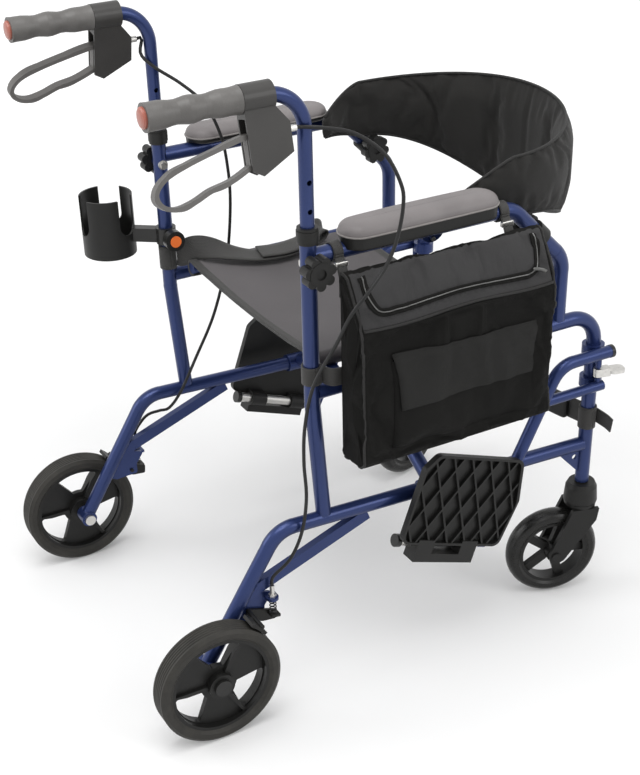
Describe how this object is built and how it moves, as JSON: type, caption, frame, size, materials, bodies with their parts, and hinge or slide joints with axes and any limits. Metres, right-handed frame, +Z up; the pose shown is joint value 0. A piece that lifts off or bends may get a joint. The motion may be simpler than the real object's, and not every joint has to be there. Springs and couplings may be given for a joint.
{
  "type": "rollator transport chair",
  "caption": "Folding wheeled walking frame that doubles as a push chair, with sling seat, wrap-round backrest, swing-away footrests, loop brakes, side bag and cup holder.",
  "frame": {"origin": "on the floor, in the middle of the overall box", "axes": "+Z up, +Y the way the chair's sitter faces away from the push handles, +X to the side that carries the bag"},
  "size_m": [0.672, 0.8131, 0.927],
  "materials": {
    "frame_blue": "metallic blue paint, satin",
    "black_plastic": "moulded black nylon",
    "grip_grey": "soft warm grey grip moulding",
    "cap_red": "red plug",
    "steel": "zinc plated",
    "tyre_grey": "grooved dark grey rubber",
    "tyre_black": "smooth black rubber",
    "seat_fabric": "woven dark grey nylon",
    "pad_vinyl": "grained dark grey vinyl",
    "black_fabric": "woven black nylon",
    "webbing": "black webbing",
    "cable_black": "black cable sleeve",
    "spring_black": "black coated wire"
  },
  "bodies": {
    "right_frame": {"right_base_tube": "frame_blue", "right_rear_upright": "frame_blue", "right_seat_hoop": "frame_blue", "right_armrest_tube": "frame_blue", "right_upright_collar": "black_plastic", "right_brake_cable": "cable_black", "right_brake_spring": "spring_black", "right_fasteners": "steel", "right_armrest_pad": "pad_vinyl", "right_backrest_clamp": "black_plastic", "saddle_bag": "black_fabric", "bag_straps": "webbing", "backrest": "black_fabric", "calf_strap": "webbing"},
    "right_handle": {"right_handle_tube": "frame_blue", "right_handle_grip": "grip_grey", "right_grip_cap": "cap_red", "right_brake_housing": "grip_grey"},
    "right_brake_lever": {"right_brake_lever": "grip_grey"},
    "right_height_knob": {"right_height_knob": "black_plastic"},
    "right_brake_arm": {"right_brake_arm": "black_plastic"},
    "right_rear_wheel": {"right_rear_wheel": "black_plastic", "right_rear_tyre": "tyre_grey"},
    "right_caster": {"right_caster_fork": "black_plastic"},
    "right_caster_wheel": {"right_caster_wheel": "black_plastic", "right_caster_tyre": "tyre_black"},
    "right_footrest": {"right_footrest_hanger": "frame_blue"},
    "right_footplate": {"right_footplate": "black_plastic"},
    "right_latch": {"right_footrest_latch": "steel"},
    "left_frame": {"left_base_tube": "frame_blue", "left_rear_upright": "frame_blue", "left_seat_hoop": "frame_blue", "left_armrest_tube": "frame_blue", "left_upright_collar": "black_plastic", "left_brake_cable": "cable_black", "left_brake_spring": "spring_black", "left_fasteners": "steel", "left_armrest_pad": "pad_vinyl", "left_backrest_clamp": "black_plastic", "cup_holder": "black_plastic", "cup_clamp": "black_plastic", "seat_belt": "webbing"},
    "left_handle": {"left_handle_tube": "frame_blue", "left_handle_grip": "grip_grey", "left_grip_cap": "cap_red", "left_brake_housing": "grip_grey"},
    "left_brake_lever": {"left_brake_lever": "grip_grey"},
    "left_height_knob": {"left_height_knob": "black_plastic"},
    "left_brake_arm": {"left_brake_arm": "black_plastic"},
    "left_rear_wheel": {"left_rear_wheel": "black_plastic", "left_rear_tyre": "tyre_grey"},
    "left_caster": {"left_caster_fork": "black_plastic"},
    "left_caster_wheel": {"left_caster_wheel": "black_plastic", "left_caster_tyre": "tyre_black"},
    "left_footrest": {"left_footrest_hanger": "frame_blue"},
    "left_footplate": {"left_footplate": "black_plastic"},
    "left_latch": {"left_footrest_latch": "steel"},
    "brace_a": {"brace_a": "frame_blue", "seat_sling": "seat_fabric"},
    "brace_b": {"brace_b": "frame_blue"}
  },
  "joints": [
    {"name": "fold", "type": "hinge", "parent": "right_frame", "child": "brace_a", "pos_m": [0.237, 0.0905, 0.27987], "axis": [0, 0.9993, -0.0365], "range_deg": [0, 28.4], "deforming": ["seat_sling", "backrest", "calf_strap", "seat_belt", "left_brake_cable", "right_brake_cable"]},
    {"name": "fold_cross", "type": "hinge", "parent": "brace_a", "child": "brace_b", "pos_m": [0, 0.09516, 0.40745], "axis": [0, 0.9993, -0.0365], "range_deg": [-56.8, 0]},
    {"name": "fold_left", "type": "hinge", "parent": "brace_b", "child": "left_frame", "pos_m": [-0.237, 0.0905, 0.27987], "axis": [0, 0.9993, -0.0365], "range_deg": [0, 28.4]},
    {"name": "right_handle_height", "type": "slide", "parent": "right_frame", "child": "right_handle", "axis": [0, 0, 1], "range_m": [-0.114, 0], "deforming": ["right_brake_cable"]},
    {"name": "right_brake_squeeze", "type": "hinge", "parent": "right_handle", "child": "right_brake_lever", "pos_m": [0.24867, -0.193, 0.86038], "axis": [-0.9724, 0, -0.2334], "range_deg": [0, 14], "stiffness_Nm_per_rad": 3},
    {"name": "right_brake_press", "type": "hinge", "parent": "right_frame", "child": "right_brake_arm", "pos_m": [0.237, -0.2235, 0.16], "axis": [1, 0, 0], "range_deg": [0, 6], "deforming": ["right_brake_spring"]},
    {"name": "right_rear_roll", "type": "hinge", "parent": "right_frame", "child": "right_rear_wheel", "pos_m": [0.275, -0.3115, 0.095], "axis": [1, 0, 0], "continuous": true},
    {"name": "right_caster_swivel", "type": "hinge", "parent": "right_frame", "child": "right_caster", "pos_m": [0.237, 0.3605, 0.2], "axis": [0, 0, 1], "continuous": true},
    {"name": "right_caster_roll", "type": "hinge", "parent": "right_caster", "child": "right_caster_wheel", "pos_m": [0.22414, 0.31842, 0.076], "axis": [0.9563, -0.2924, 0], "continuous": true},
    {"name": "right_footrest_swing", "type": "hinge", "parent": "right_frame", "child": "right_footrest", "pos_m": [0.237, 0.3605, 0.4], "axis": [0, 0, 1], "range_deg": [0, 180]},
    {"name": "right_footplate_flip", "type": "hinge", "parent": "right_footrest", "child": "right_footplate", "pos_m": [0.264, 0.1488, 0.17], "axis": [0, 0.9397, -0.342], "range_deg": [0, 90]},
    {"name": "right_latch_press", "type": "hinge", "parent": "right_footrest", "child": "right_latch", "pos_m": [0.258, 0.3565, 0.404], "axis": [0, 0, 1], "range_deg": [-15, 0], "stiffness_Nm_per_rad": 0.5},
    {"name": "right_knob_turn", "type": "hinge", "parent": "right_frame", "child": "right_height_knob", "pos_m": [0.25, -0.1235, 0.678], "axis": [1, 0, 0], "continuous": true},
    {"name": "left_handle_height", "type": "slide", "parent": "left_frame", "child": "left_handle", "axis": [0, 0, 1], "range_m": [-0.114, 0], "deforming": ["left_brake_cable"]},
    {"name": "left_brake_squeeze", "type": "hinge", "parent": "left_handle", "child": "left_brake_lever", "pos_m": [-0.24867, -0.193, 0.86038], "axis": [-0.9724, 0, 0.2334], "range_deg": [0, 14], "stiffness_Nm_per_rad": 3},
    {"name": "left_brake_press", "type": "hinge", "parent": "left_frame", "child": "left_brake_arm", "pos_m": [-0.237, -0.2235, 0.16], "axis": [1, 0, 0], "range_deg": [0, 6], "deforming": ["left_brake_spring"]},
    {"name": "left_rear_roll", "type": "hinge", "parent": "left_frame", "child": "left_rear_wheel", "pos_m": [-0.275, -0.3115, 0.095], "axis": [1, 0, 0], "continuous": true},
    {"name": "left_caster_swivel", "type": "hinge", "parent": "left_frame", "child": "left_caster", "pos_m": [-0.237, 0.3605, 0.2], "axis": [0, 0, 1], "continuous": true},
    {"name": "left_caster_roll", "type": "hinge", "parent": "left_caster", "child": "left_caster_wheel", "pos_m": [-0.22414, 0.31842, 0.076], "axis": [0.9563, 0.2924, 0], "continuous": true},
    {"name": "left_footrest_swing", "type": "hinge", "parent": "left_frame", "child": "left_footrest", "pos_m": [-0.237, 0.3605, 0.4], "axis": [0, 0, 1], "range_deg": [-180, 0]},
    {"name": "left_footplate_flip", "type": "hinge", "parent": "left_footrest", "child": "left_footplate", "pos_m": [-0.264, 0.1488, 0.17], "axis": [0, 0.9397, -0.342], "range_deg": [-90, 0]},
    {"name": "left_latch_press", "type": "hinge", "parent": "left_footrest", "child": "left_latch", "pos_m": [-0.258, 0.3565, 0.404], "axis": [0, 0, 1], "range_deg": [0, 15], "stiffness_Nm_per_rad": 0.5},
    {"name": "left_knob_turn", "type": "hinge", "parent": "left_frame", "child": "left_height_knob", "pos_m": [-0.25, -0.1235, 0.678], "axis": [1, 0, 0], "continuous": true}
  ],
  "couplings": [
    {"joint": "fold_cross", "follows": "fold", "ratio": -2},
    {"joint": "fold_left", "follows": "fold", "ratio": 1},
    {"joint": "right_brake_press", "follows": "right_brake_squeeze", "ratio": 0.42857},
    {"joint": "left_brake_press", "follows": "left_brake_squeeze", "ratio": 0.42857}
  ]
}
